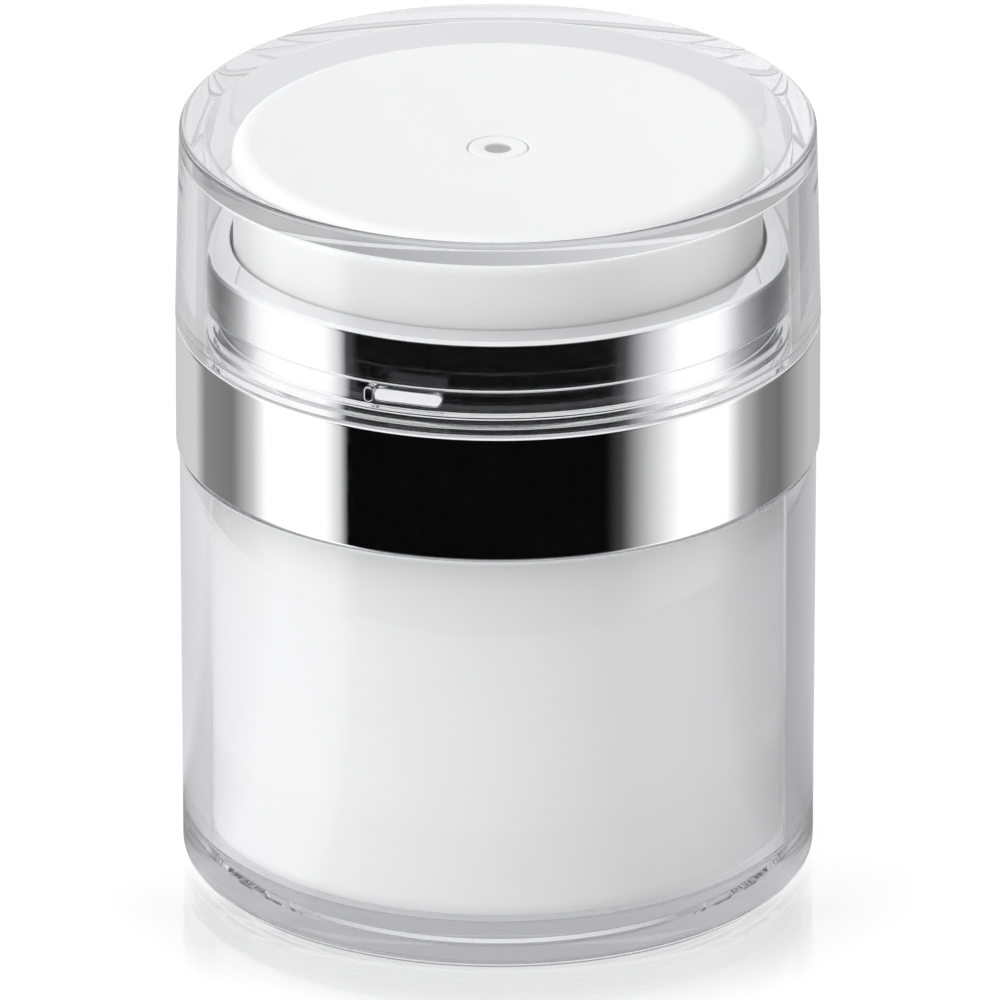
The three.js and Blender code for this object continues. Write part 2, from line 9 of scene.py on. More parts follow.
import bmesh
import bpy
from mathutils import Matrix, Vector


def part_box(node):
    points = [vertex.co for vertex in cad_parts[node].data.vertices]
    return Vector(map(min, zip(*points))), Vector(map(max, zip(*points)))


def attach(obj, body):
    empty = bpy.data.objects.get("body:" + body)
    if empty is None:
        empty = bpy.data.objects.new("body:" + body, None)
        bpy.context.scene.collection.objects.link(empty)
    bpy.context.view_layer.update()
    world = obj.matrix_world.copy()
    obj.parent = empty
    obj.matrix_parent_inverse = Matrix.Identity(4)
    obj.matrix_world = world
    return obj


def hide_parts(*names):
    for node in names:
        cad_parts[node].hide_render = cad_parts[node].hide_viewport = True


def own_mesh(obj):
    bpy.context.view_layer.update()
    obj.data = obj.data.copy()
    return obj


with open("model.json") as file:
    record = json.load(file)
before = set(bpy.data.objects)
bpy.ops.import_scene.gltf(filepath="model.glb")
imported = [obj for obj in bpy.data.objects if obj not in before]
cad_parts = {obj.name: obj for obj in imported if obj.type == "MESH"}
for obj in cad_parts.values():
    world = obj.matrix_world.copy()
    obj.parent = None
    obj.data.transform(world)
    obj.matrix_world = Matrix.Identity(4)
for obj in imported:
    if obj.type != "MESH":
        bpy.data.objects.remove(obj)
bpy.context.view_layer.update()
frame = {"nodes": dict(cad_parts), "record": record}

MM = 0.001


def size_of(node):
    """Outer radius, bottom and top of a round node, in millimetres."""
    low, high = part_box(node)
    return high.x / MM, low.z / MM, high.z / MM


# Gaps between neighbouring pieces
SEAT = 0.3
SLIP = 0.3

# Edge roundings, from keen to wide
KEEN = 0.1
THIN = 0.12
FINE = 0.15
EDGE = 0.2
MILD = 0.25
SOFT = 0.3
BROW = 0.35
FULL = 0.4
DEEP = 0.5
BEND = 0.9

# Clear jar
JAR_RADIUS, JAR_FOOT, JAR_TOP = size_of("outer_jar")
JAR_DRAFT = 0.2
JAR_WALL = 3.0
JAR_BASE = 4.4
JAR_NECK_WALL = 1.5
FOOT_ROUND = 1.8
FOOT_RING = 9.5
FOOT_RECESS = 0.5
CAVITY_ROUND = 0.8
CUP_ROUND = 2.0
CAVITY = JAR_RADIUS - JAR_WALL
JAR_NECK = CAVITY + JAR_NECK_WALL

# White cup
CUP_FLANGE_RADIUS, CUP_BOTTOM, CUP_TOP = size_of("inner_cup")
CUP_WALL = 1.3
CUP_FLOOR = 1.5
CUP_FLOOR_ROUND = 1.0
CUP_FLANGE = 1.2
CUP_NECK_STEP = 0.2
VENT = 1.25
CUP_RADIUS = CAVITY - SLIP
CUP_BORE = CUP_RADIUS - CUP_WALL
CUP_NECK = CUP_RADIUS - CUP_NECK_STEP
FLANGE_TOP = JAR_TOP + SEAT + CUP_FLANGE

# Follower in the cup
FOLLOWER_WAIST = 0.7
FOLLOWER_WALL = 1.4
FOLLOWER_LIP = 1.2
FOLLOWER_DISH = 1.2
FOLLOWER_HEEL = 1.0
WELL = 6.0
WELL_DEPTH = 2.4

# Closure with its dish for the pump
CLOSURE_RADIUS, DISH_BOTTOM, DECK_TOP = size_of("pump_closure")
CLOSURE_SKIRT = 1.3
CLOSURE_DECK = 0.9
PLUG_WALL = 1.3
DISH_FLOOR = 1.3
DISH_HOLE = 4.4
GUSSET_COUNT = 6
GUSSET_INNER = 9.7
GUSSET_HEIGHT = 7.0
RIB_THICKNESS = 1.0
RIB_ROOT = 0.4

# Pump cylinder, piston, stem, poppet and spring
CYLINDER_WALL = 1.1
CYLINDER_FLOOR = 1.2
CYLINDER_BORE = 6.0
SPIGOT = 4.1
PORT = 2.2
STEM_GUIDE = 3.3
STEM_BORE = 1.5
STEM_FOOT = 1.0
PISTON_LIP = 1.0
PISTON_WAIST = 0.8
SPRING_CAP_PLATE = 1.0
POPPET_HEAD = 0.7
POPPET_LEG = 0.8
POPPET_LEGS = 3
POPPET_HOOK = 0.6
POPPET_CATCH = 0.48
SPRING_RADIUS = 5.7
SPRING_WIRE = 1.0
SPRING_TURNS = 5

# Plated shoulder
COLLAR_RADIUS, COLLAR_BOTTOM, NECK_CROWN = size_of("shoulder")
NECK_RISE = 0.5
NECK_HEIGHT = 9.3
NECK_INSET = 3.05
NECK_WALL = 1.2
NECK_LIP = 1.2
NECK_ROUND = 0.6
LEDGE = 1.0
BAND = 1.4
GROOVE = 2.4
GROOVE_DEPTH = 0.65
GROOVE_CORNER = 0.04
GROOVE_LIP = 0.55
JAR_BODY_TOP = COLLAR_BOTTOM - SEAT
NECK_TOP = NECK_CROWN - NECK_RISE
LEDGE_TOP = NECK_TOP - NECK_HEIGHT
NECK_RADIUS = COLLAR_RADIUS - NECK_INSET
GROOVE_RADIUS = NECK_RADIUS - GROOVE_DEPTH
GROOVE_BOTTOM = LEDGE_TOP + BAND
GROOVE_TOP = GROOVE_BOTTOM + GROOVE
LUG_COUNT = 3
LUG_LENGTH = 6.9
LUG_HEIGHT = 1.35
LUG_DEPTH = 0.8
LUG_FRONT = 29.25
LUG_DROP = 0.25
LUG_LEAN = math.radians(28)
LUG_BEARING = math.radians(-17.5)
STOP_WIDTH = 0.9
STOP_ROUND = 0.3
ROUND_END = 0.49

# Press disc and its nozzle
BEAD_RADIUS, DISC_BOTTOM, DISC_HIGHEST = size_of("press_disc")
NOZZLE_RADIUS, NOZZLE_BOTTOM, NOZZLE_TOP = size_of("outlet_nozzle")
NOZZLE_RISE = 0.3
NOZZLE_GAP = 0.12
DISC_BEAD = 0.75
DISC_BEAD_HEIGHT = 1.1
DISC_DISH = 1.0
DISC_ROUND = 1.68
DISC_BEND = 0.6
DISC_THICKNESS = 1.6
DISC_SKIRT = 1.25
DISC_STEPS = 12
DISC_RADIUS = BEAD_RADIUS - DISC_BEAD
DISC_CENTRE = NOZZLE_TOP + NOZZLE_RISE
DISC_CREST = DISC_CENTRE + DISC_DISH
DISC_RIBS = 6
RIB_INNER = 6.7
RIB_HEIGHT = 3.0
SOCKET_BOTTOM = 64.9
SOCKET_WALL = 1.1
OUTLET = 1.35
NOZZLE_DISH = 0.1
NOZZLE_WEB = 0.25

# Clear cap
CAP_RADIUS, CAP_BOTTOM, CAP_TOP = size_of("cap")
CAP_DRAFT = 0.48
CAP_WALL = 2.75
CAP_BORE_DRAFT = 0.2
CAP_PLATE = 3.0
CAP_ROUND = 0.6

# Facets
WIDE = 192
CLEAR = 384
SMALL = 64
ROUND_STEPS = 6
CLEAR_STEPS = 12
WIRE_SIDES = 16
TURN_STEPS = 48
WELD = 1e-7
SMOOTH_ANGLE = math.radians(32)
SOFTEN_STEPS = 3
LEVEL_WEIGHT = 100

# Range of the noise that the finishes use
NOISE_LOW = 0.3
NOISE_HIGH = 0.7


def pick(piece, wanted):
    """Selects, in edit mode, the vertices whose place is wanted."""
    mesh = bmesh.from_edit_mesh(piece.data)
    for vert in mesh.verts:
        vert.select = wanted(piece.matrix_world @ vert.co)
    mesh.select_flush_mode()
    bmesh.update_edit_mesh(piece.data)


def place_of(corner):
    return Vector((corner[0] * MM, 0, corner[1] * MM))


def draw_outline(name, corners, steps=ROUND_STEPS):
    """A wire in edit mode through the corners, each rounded, closed unless its ends lie on the axis."""
    bpy.ops.object.select_all(action="DESELECT")
    bpy.ops.mesh.primitive_plane_add(size=MM, location=place_of(corners[0]))
    piece = bpy.context.object
    piece.name = name
    bpy.ops.object.mode_set(mode="EDIT")
    bpy.ops.mesh.merge(type="CENTER")
    for before, after in zip(corners, corners[1:]):
        step = place_of(after) - place_of(before)
        bpy.ops.mesh.extrude_vertices_move(TRANSFORM_OT_translate={"value": step})
    ends = [place_of(corners[0]), place_of(corners[-1])]
    if corners[0][0] > 0:
        pick(piece, lambda spot: min((spot - end).length for end in ends) < WELD)
        bpy.ops.mesh.edge_face_add()
    for i, corner in enumerate(corners):
        if corner[2] > 0:
            round_corner(piece, corners[i - 1], corner, corners[(i + 1) % len(corners)], steps)
    return piece


def round_corner(piece, before, corner, after, steps):
    """Turns one corner of the wire into an arc of its rounding."""
    spot = place_of(corner)
    back = place_of(before) - spot
    ahead = place_of(after) - spot
    reach = corner[2] * MM / math.tan(back.angle(ahead) / 2)
    pick(piece, lambda place: (place - spot).length < WELD)
    bpy.ops.mesh.bevel(offset=reach, segments=steps, profile=0.5, affect="VERTICES")


def spin_closed(sides):
    """Spins the wire in edit mode about the jar's axis, and closes seam and poles."""
    bpy.ops.mesh.select_all(action="SELECT")
    bpy.ops.mesh.spin(steps=sides, angle=2 * math.pi, center=(0, 0, 0), axis=(0, 0, 1))
    bpy.ops.mesh.select_all(action="SELECT")
    bpy.ops.mesh.remove_doubles(threshold=WELD)
    bpy.ops.mesh.normals_make_consistent(inside=False)


def finish_mesh(piece):
    """Leaves edit mode with the piece's place in its mesh and its curved faces smooth."""
    bpy.ops.object.mode_set(mode="OBJECT")
    bpy.ops.object.transform_apply(location=True, rotation=True, scale=True)
    bpy.ops.object.shade_smooth_by_angle(angle=SMOOTH_ANGLE)
    return level_shading(piece)


def level_shading(piece):
    """Lets the wide faces set the normals where they run into roundings, so that flat walls stay flat."""
    level = piece.modifiers.new("level", "WEIGHTED_NORMAL")
    level.mode = "FACE_AREA"
    level.weight = LEVEL_WEIGHT
    level.keep_sharp = True
    bpy.ops.object.modifier_apply(modifier=level.name)
    return piece


def turned(name, corners, sides=WIDE, steps=ROUND_STEPS):
    """A piece turned about the jar's axis."""
    piece = draw_outline(name, corners, steps)
    spin_closed(sides)
    return finish_mesh(piece)


def soften(piece, width):
    """Rounds the sharp edges of the finished piece."""
    edge = piece.modifiers.new("edge", "BEVEL")
    edge.width = width * MM
    edge.segments = SOFTEN_STEPS
    edge.limit_method = "ANGLE"
    edge.angle_limit = SMOOTH_ANGLE
    bpy.ops.object.modifier_apply(modifier=edge.name)
    return level_shading(piece)


def fin(name, corners, thickness, edge=THIN):
    """A plate on edge through the jar's axis, from its outline, with softened edges."""
    piece = draw_outline(name, corners)
    bpy.ops.mesh.select_all(action="SELECT")
    bpy.ops.mesh.edge_face_add()
    bpy.ops.mesh.extrude_region_move(TRANSFORM_OT_translate={"value": (0, thickness * MM, 0)})
    bpy.ops.mesh.select_all(action="SELECT")
    bpy.ops.transform.translate(value=(0, -thickness * MM / 2, 0))
    bpy.ops.mesh.normals_make_consistent(inside=False)
    return soften(finish_mesh(piece), edge)


def all_round(piece, count):
    """The piece and its evenly spaced copies about the jar's axis."""
    ring = [piece]
    for i in range(1, count):
        bpy.ops.object.select_all(action="DESELECT")
        piece.select_set(True)
        bpy.context.view_layer.objects.active = piece
        bpy.ops.object.duplicate()
        twin = bpy.context.object
        twin.name = f"{piece.name}_{i + 1}"
        twin.rotation_euler.z = 2 * math.pi * i / count
        bpy.ops.object.transform_apply(location=True, rotation=True, scale=True)
        ring.append(twin)
    return ring


def clear_jar():
    foot = JAR_RADIUS - JAR_DRAFT
    ring = foot - FOOT_ROUND - FOOT_RING
    return turned("clear_jar", [
        (0, JAR_FOOT + FOOT_RECESS, 0),
        (ring - FOOT_RECESS, JAR_FOOT + FOOT_RECESS, SOFT),
        (ring, JAR_FOOT, EDGE),
        (foot, JAR_FOOT, FOOT_ROUND),
        (JAR_RADIUS, JAR_BODY_TOP, BROW),
        (JAR_NECK, JAR_BODY_TOP, EDGE),
        (JAR_NECK, JAR_TOP, SOFT),
        (CAVITY, JAR_TOP, EDGE),
        (CAVITY, JAR_BASE, CAVITY_ROUND),
        (0, JAR_BASE, 0),
    ], CLEAR, CLEAR_STEPS)


def white_cup():
    flange_bottom = JAR_TOP + SEAT
    return turned("white_cup", [
        (VENT, CUP_BOTTOM, KEEN),
        (CUP_RADIUS, CUP_BOTTOM, CUP_ROUND),
        (CUP_RADIUS, flange_bottom, EDGE),
        (CUP_FLANGE_RADIUS, flange_bottom, EDGE),
        (CUP_FLANGE_RADIUS, FLANGE_TOP, EDGE),
        (CUP_NECK, FLANGE_TOP, EDGE),
        (CUP_NECK, CUP_TOP, SOFT),
        (CUP_BORE, CUP_TOP, SOFT),
        (CUP_BORE, CUP_BOTTOM + CUP_FLOOR, CUP_FLOOR_ROUND),
        (VENT, CUP_BOTTOM + CUP_FLOOR, KEEN),
    ])


def plated_shoulder():
    bore = JAR_NECK + SLIP
    mouth = DISC_RADIUS + SLIP
    return turned("plated_shoulder", [
        (bore, COLLAR_BOTTOM, EDGE),
        (COLLAR_RADIUS, COLLAR_BOTTOM, SOFT),
        (COLLAR_RADIUS, LEDGE_TOP, BROW),
        (NECK_RADIUS, LEDGE_TOP, EDGE),
        (NECK_RADIUS, GROOVE_BOTTOM, FINE),
        (GROOVE_RADIUS, GROOVE_BOTTOM, EDGE),
        (GROOVE_RADIUS, GROOVE_TOP, GROOVE_CORNER),
        (NECK_RADIUS, GROOVE_TOP, GROOVE_LIP),
        (NECK_RADIUS, NECK_TOP, NECK_ROUND),
        (mouth, NECK_CROWN, EDGE),
        (mouth, NECK_TOP - NECK_LIP, FINE),
        (NECK_RADIUS - NECK_WALL, NECK_TOP - NECK_LIP, EDGE),
        (NECK_RADIUS - NECK_WALL, LEDGE_TOP - LEDGE, EDGE),
        (bore, LEDGE_TOP - LEDGE, SOFT),
    ])


def cap_lug():
    """A bar with round ends in the neck's groove, its flat face leaning back, that holds the cap."""
    top = GROOVE_TOP - LUG_DROP
    bottom = top - LUG_HEIGHT
    piece = fin("cap_lug", stadium(LUG_LENGTH, bottom, top), LUG_DEPTH)
    set_in_groove(piece, LUG_LENGTH, 0)
    bpy.ops.object.mode_set(mode="EDIT")
    pick(piece, lambda spot: spot.y < -(LUG_FRONT - LUG_DEPTH / 2) * MM)
    hinge = (0, -LUG_FRONT * MM, bottom * MM)
    bpy.ops.transform.rotate(value=LUG_LEAN, orient_axis="X", center_override=hinge)
    return turn_to_lug(piece)


def lug_stop():
    """A small dome at the end of the bar."""
    top = GROOVE_TOP - LUG_DROP
    piece = fin("lug_stop", stadium(STOP_WIDTH, top - LUG_HEIGHT - LUG_DROP, top), LUG_DEPTH, STOP_ROUND)
    set_in_groove(piece, STOP_WIDTH, (LUG_LENGTH + STOP_WIDTH) / 2)
    bpy.ops.object.mode_set(mode="EDIT")
    return turn_to_lug(piece)


def stadium(length, bottom, top):
    """An upright outline with round ends, one length away from the axis."""
    end = min(length, top - bottom) * ROUND_END
    return [(length, bottom, end), (2 * length, bottom, end), (2 * length, top, end), (length, top, end)]


def set_in_groove(piece, length, aside):
    """Moves an upright plate to the front of the neck's groove."""
    piece.location = Vector((-1.5 * length - aside, LUG_DEPTH / 2 - LUG_FRONT, 0)) * MM
    bpy.ops.object.transform_apply(location=True, rotation=True, scale=True)


def turn_to_lug(piece):
    """Leaves edit mode and turns the piece from the front to the first lug's bearing."""
    bpy.ops.object.mode_set(mode="OBJECT")
    piece.rotation_euler.z = LUG_BEARING
    bpy.ops.object.transform_apply(location=True, rotation=True, scale=True)
    return level_shading(piece)


def disc_top(radius):
    """Height of the disc's dished top."""
    return DISC_CENTRE + DISC_DISH * (radius / DISC_RADIUS) ** 2


def dish(start, end, drop):
    """Corners along the disc's dish, a given depth under its top."""
    spread = [start + (end - start) * i / DISC_STEPS for i in range(1, DISC_STEPS)]
    return [(radius, disc_top(radius) - drop, 0) for radius in spread]


def press_disc():
    hole = NOZZLE_RADIUS + NOZZLE_GAP
    socket = hole + SOCKET_WALL
    skirt = DISC_RADIUS - DISC_SKIRT
    bead_top = NECK_TOP - NECK_LIP - SEAT
    bead_bottom = bead_top - DISC_BEAD_HEIGHT
    return turned("press_disc_top", [
        (hole, SOCKET_BOTTOM, EDGE),
        (socket, SOCKET_BOTTOM, EDGE),
        (socket, disc_top(socket) - DISC_THICKNESS, EDGE),
        *dish(socket, skirt, DISC_THICKNESS),
        (skirt, disc_top(skirt) - DISC_THICKNESS, DISC_BEND),
        (skirt, DISC_BOTTOM, EDGE),
        (DISC_RADIUS, DISC_BOTTOM, EDGE),
        (DISC_RADIUS, bead_bottom - DISC_BEAD, EDGE),
        (BEAD_RADIUS, bead_bottom, EDGE),
        (BEAD_RADIUS, bead_top, EDGE),
        (DISC_RADIUS, bead_top, FINE),
        (DISC_RADIUS, DISC_CREST, DISC_ROUND),
        *dish(DISC_RADIUS, hole, 0),
        (hole, DISC_CENTRE, FINE),
    ])


def outlet_nozzle():
    web = DISC_CENTRE - NOZZLE_DISH - NOZZLE_WEB
    return turned("nozzle", [
        (NOZZLE_RADIUS - SOCKET_WALL, NOZZLE_BOTTOM, 0),
        (NOZZLE_RADIUS, NOZZLE_BOTTOM, EDGE),
        (NOZZLE_RADIUS, DISC_CENTRE, MILD),
        (OUTLET, DISC_CENTRE - NOZZLE_DISH, KEEN),
        (OUTLET, web, 0),
        (NOZZLE_RADIUS - SOCKET_WALL, web, 0),
    ], SMALL)


def disc_rib():
    under = disc_top(RIB_INNER) - DISC_THICKNESS
    outer = DISC_RADIUS - DISC_SKIRT + RIB_ROOT
    return fin("disc_rib", [
        (RIB_INNER, under + RIB_ROOT, 0),
        (RIB_INNER, under - RIB_HEIGHT, 0),
        (outer, under - RIB_HEIGHT, 0),
        (outer, disc_top(outer) - DISC_THICKNESS + RIB_ROOT, 0),
    ], RIB_THICKNESS)


def follower():
    """Two wiping lips on a waisted barrel, closed by a web with a well."""
    radius, bottom, top = size_of("follower_piston")
    barrel = radius - FOLLOWER_WAIST
    bore = barrel - FOLLOWER_WALL
    web_top = top - FOLLOWER_DISH
    web_bottom = web_top - FOLLOWER_WALL
    well_top = web_top - WELL_DEPTH
    well_bottom = well_top - FOLLOWER_WALL
    lip_top = bottom + FOLLOWER_HEEL + FOLLOWER_LIP
    return turned("follower", [
        (0, well_bottom, 0),
        (WELL + FOLLOWER_WALL, well_bottom, DEEP),
        (WELL + FOLLOWER_WALL, web_bottom, SOFT),
        (bore, web_bottom, BEND),
        (bore, lip_top + FOLLOWER_WAIST, SOFT),
        (bore + FOLLOWER_WAIST - FOLLOWER_HEEL / 2, bottom, KEEN),
        (radius - FOLLOWER_HEEL, bottom, EDGE),
        (radius, bottom + FOLLOWER_HEEL, EDGE),
        (radius, lip_top, EDGE),
        (barrel, lip_top + FOLLOWER_WAIST, FULL),
        (barrel, top - FOLLOWER_LIP - FOLLOWER_WAIST, FULL),
        (radius, top - FOLLOWER_LIP, EDGE),
        (radius, top, EDGE),
        (bore + FOLLOWER_WAIST, top, EDGE),
        (bore, web_top, SOFT),
        (WELL, web_top, SOFT),
        (WELL, well_top, DEEP),
        (0, well_top, 0),
    ])


def washer(name, node, width):
    """A soft washer as high and wide as its solid."""
    radius, bottom, top = size_of(node)
    return turned(name, [
        (radius - width, bottom, THIN),
        (radius, bottom, THIN),
        (radius, top, THIN),
        (radius - width, top, THIN),
    ])


def closure():
    """Screw skirt outside the cup's neck, plug wall inside it, and a deep dish that holds the pump."""
    skirt_bore = CLOSURE_RADIUS - CLOSURE_SKIRT
    plug = CUP_BORE - SLIP
    deck_bottom = DECK_TOP - CLOSURE_DECK
    dish_top = DISH_BOTTOM + DISH_FLOOR
    return turned("closure", [
        (DISH_HOLE, DISH_BOTTOM, EDGE),
        (plug, DISH_BOTTOM, BEND),
        (plug, deck_bottom, EDGE),
        (skirt_bore, deck_bottom, EDGE),
        (skirt_bore, FLANGE_TOP + SEAT, EDGE),
        (CLOSURE_RADIUS, FLANGE_TOP + SEAT, SOFT),
        (CLOSURE_RADIUS, DECK_TOP, SOFT),
        (plug - PLUG_WALL, DECK_TOP, SOFT),
        (plug - PLUG_WALL, dish_top, BEND),
        (DISH_HOLE, dish_top, EDGE),
    ])


def gusset():
    floor = DISH_BOTTOM + DISH_FLOOR
    wall = CUP_BORE - SLIP - PLUG_WALL
    return fin("closure_gusset", [
        (GUSSET_INNER, floor - RIB_ROOT, 0),
        (wall + RIB_ROOT, floor - RIB_ROOT, 0),
        (wall + RIB_ROOT, floor + GUSSET_HEIGHT, 0),
        (wall - RIB_ROOT, floor + GUSSET_HEIGHT, SOFT),
        (GUSSET_INNER, floor + RIB_ROOT, EDGE),
    ], RIB_THICKNESS)


def cylinder():
    flange, bottom, top = size_of("pump_cylinder")
    flange_bottom = size_of("cylinder_gasket")[2] + SEAT
    floor = flange_bottom + CYLINDER_FLOOR
    barrel = CYLINDER_BORE + CYLINDER_WALL
    return turned("cylinder", [
        (PORT, bottom, FINE),
        (SPIGOT, bottom, FULL),
        (SPIGOT, flange_bottom, EDGE),
        (flange, flange_bottom, MILD),
        (flange, floor, MILD),
        (barrel, floor, FULL),
        (barrel, top, EDGE),
        (CYLINDER_BORE, top, SOFT),
        (CYLINDER_BORE, floor, DEEP),
        (PORT, floor, FINE),
    ], SMALL)


def spring_cap():
    """Cap over the cylinder: it guides the stem, stops the piston and carries the spring."""
    radius, bottom, top = size_of("spring_seat")
    bore = CYLINDER_BORE + CYLINDER_WALL + SLIP
    return turned("spring_cap", [
        (STEM_GUIDE, top - SPRING_CAP_PLATE, EDGE),
        (bore, top - SPRING_CAP_PLATE, EDGE),
        (bore, bottom, EDGE),
        (radius, bottom, SOFT),
        (radius, top, FULL),
        (STEM_GUIDE, top, EDGE),
    ], SMALL)


def poppet():
    radius, _, top = size_of("inlet_valve")
    return turned("poppet", [
        (0, top - POPPET_HEAD, 0),
        (radius, top - POPPET_HEAD, FINE),
        (radius, top, MILD),
        (0, top, 0),
    ], SMALL)


def poppet_leg():
    bottom, top = size_of("inlet_valve")[1:]
    outer = PORT - SLIP
    shank = outer - POPPET_LEG
    root = top - POPPET_HEAD + RIB_ROOT
    return fin("poppet_leg", [
        (shank, bottom, 0),
        (outer, bottom, 0),
        (PORT + POPPET_CATCH, bottom + POPPET_HOOK, 0),
        (outer, bottom + POPPET_HOOK, 0),
        (outer, root, 0),
        (shank, root, 0),
    ], RIB_THICKNESS)


def piston():
    """Waisted piston with a lip at each end, on the stem above its foot."""
    radius, bottom, top = size_of("pump_piston")
    waist = radius - PISTON_WAIST
    return turned("piston", [
        (STEM_GUIDE, bottom, FINE),
        (radius, bottom, FINE),
        (radius, bottom + PISTON_LIP, EDGE),
        (waist, bottom + PISTON_LIP + PISTON_WAIST, SOFT),
        (waist, top - PISTON_LIP - PISTON_WAIST, SOFT),
        (radius, top - PISTON_LIP, EDGE),
        (radius, top, FINE),
        (STEM_GUIDE, top, FINE),
    ], SMALL)


def stem():
    foot, bottom, top = size_of("pump_stem")
    shaft = STEM_GUIDE - SLIP
    return turned("stem", [
        (STEM_BORE, bottom, FINE),
        (foot, bottom, MILD),
        (foot, bottom + STEM_FOOT, MILD),
        (shaft, bottom + STEM_FOOT, MILD),
        (shaft, top, SOFT),
        (STEM_BORE, top, EDGE),
    ], SMALL)


def coil_spring():
    """Round wire wound about the stem."""
    bottom, top = size_of("return_spring")[1:]
    start = (SPRING_RADIUS * MM, 0, (bottom + SPRING_WIRE / 2) * MM)
    bpy.ops.object.select_all(action="DESELECT")
    bpy.ops.mesh.primitive_circle_add(
        vertices=WIRE_SIDES, radius=SPRING_WIRE / 2 * MM, location=start, rotation=(math.pi / 2, 0, 0))
    piece = bpy.context.object
    piece.name = "coil_spring"
    bpy.ops.object.transform_apply(location=True, rotation=True, scale=True)
    wind = piece.modifiers.new("wind", "SCREW")
    wind.angle = 2 * math.pi
    wind.iterations = SPRING_TURNS
    wind.screw_offset = (top - bottom - SPRING_WIRE) / SPRING_TURNS * MM
    wind.steps = TURN_STEPS
    wind.render_steps = TURN_STEPS
    bpy.ops.object.modifier_apply(modifier=wind.name)
    bpy.ops.object.mode_set(mode="EDIT")
    bpy.ops.mesh.select_all(action="SELECT")
    bpy.ops.mesh.remove_doubles(threshold=WELD)
    bpy.ops.mesh.fill_holes(sides=0)
    bpy.ops.mesh.normals_make_consistent(inside=False)
    return finish_mesh(piece)


def clear_cap():
    bore = CAP_RADIUS - CAP_WALL
    ceiling = CAP_TOP - CAP_PLATE
    return turned("clear_cap", [
        (bore, CAP_BOTTOM, THIN),
        (CAP_RADIUS, CAP_BOTTOM, FINE),
        (CAP_RADIUS - CAP_DRAFT, CAP_TOP, CAP_ROUND),
        (0, CAP_TOP, 0),
        (0, ceiling, 0),
        (bore - CAP_BORE_DRAFT, ceiling, SOFT),
    ], CLEAR, CLEAR_STEPS)


def add_node(tree, kind, inputs=None, **settings):
    """A shader node with its settings, and its inputs set to values or joined to sockets."""
    node = tree.nodes.new(kind)
    for name, value in settings.items():
        setattr(node, name, value)
    for socket, value in (inputs or {}).items():
        if isinstance(value, bpy.types.NodeSocket):
            tree.links.new(value, node.inputs[socket])
        else:
            node.inputs[socket].default_value = value
    return node


def new_finish(name, **values):
    """A material whose even values sit on its shader's own sockets."""
    finish = bpy.data.materials.new(name)
    finish.use_nodes = True
    shader = finish.node_tree.nodes["Principled BSDF"]
    for socket, value in values.items():
        shader.inputs[socket.replace("_", " ")].default_value = value
    return finish, finish.node_tree, shader


def mottle(tree, scale, detail=2.0):
    """Soft noise over the piece in its own coordinates, per metre."""
    spot = add_node(tree, "ShaderNodeTexCoord").outputs["Object"]
    grain = {"Vector": spot, "Scale": scale, "Detail": detail}
    return add_node(tree, "ShaderNodeTexNoise", grain).outputs[0]


def spread(tree, noise, low, high):
    """Noise spread between two values."""
    ends = {"Value": noise, "From Min": NOISE_LOW, "From Max": NOISE_HIGH, "To Min": low, "To Max": high}
    return add_node(tree, "ShaderNodeMapRange", ends).outputs[0]


def tint(tree, noise, dark, light):
    """Noise as a colour between two others."""
    shades = add_node(tree, "ShaderNodeValToRGB", {"Fac": noise})
    dark_end, light_end = shades.color_ramp.elements
    dark_end.position = NOISE_LOW
    dark_end.color = (*dark, 1)
    light_end.position = NOISE_HIGH
    light_end.color = (*light, 1)
    return shades.outputs["Color"]


def relief(tree, noise, depth):
    """A fine relief of a depth in metres."""
    rise = {"Height": noise, "Strength": 1.0, "Distance": depth}
    return add_node(tree, "ShaderNodeBump", rise).outputs["Normal"]


def join_finish(tree, shader, colour=None, roughness=None, normal=None):
    for socket, source in (("Base Color", colour), ("Roughness", roughness), ("Normal", normal)):
        if source:
            tree.links.new(source, shader.inputs[socket])


def clear_acrylic():
    finish, tree, shader = new_finish("clear_acrylic", IOR=1.49, Transmission_Weight=1.0)
    colour = tint(tree, mottle(tree, 30), (0.975, 0.975, 0.985), (0.985, 0.985, 0.99))
    rough = spread(tree, mottle(tree, 900), 0.0, 0.012)
    join_finish(tree, shader, colour, rough)
    return finish


def white_plastic():
    finish, tree, shader = new_finish("white_plastic", IOR=1.49)
    colour = tint(tree, mottle(tree, 70), (0.895, 0.895, 0.895), (0.91, 0.91, 0.905))
    rough = spread(tree, mottle(tree, 400), 0.3, 0.4)
    join_finish(tree, shader, colour, rough, relief(tree, mottle(tree, 2600), 2e-6))
    return finish


def plated_silver():
    finish, tree, shader = new_finish("plated_silver", Metallic=1.0)
    colour = tint(tree, mottle(tree, 60), (0.9, 0.9, 0.91), (0.925, 0.925, 0.93))
    rough = spread(tree, mottle(tree, 1200), 0.02, 0.06)
    join_finish(tree, shader, colour, rough, relief(tree, mottle(tree, 350), 6e-7))
    return finish


def natural_plastic():
    finish, tree, shader = new_finish("natural_plastic", IOR=1.5)
    colour = tint(tree, mottle(tree, 90), (0.74, 0.74, 0.7), (0.8, 0.8, 0.77))
    rough = spread(tree, mottle(tree, 500), 0.35, 0.5)
    join_finish(tree, shader, colour, rough, relief(tree, mottle(tree, 1800), 4e-6))
    return finish


def soft_silicone():
    finish, tree, shader = new_finish("soft_silicone", IOR=1.41, Sheen_Weight=0.1)
    colour = tint(tree, mottle(tree, 120), (0.7, 0.7, 0.68), (0.76, 0.76, 0.74))
    rough = spread(tree, mottle(tree, 700), 0.55, 0.7)
    join_finish(tree, shader, colour, rough, relief(tree, mottle(tree, 2200), 6e-6))
    return finish


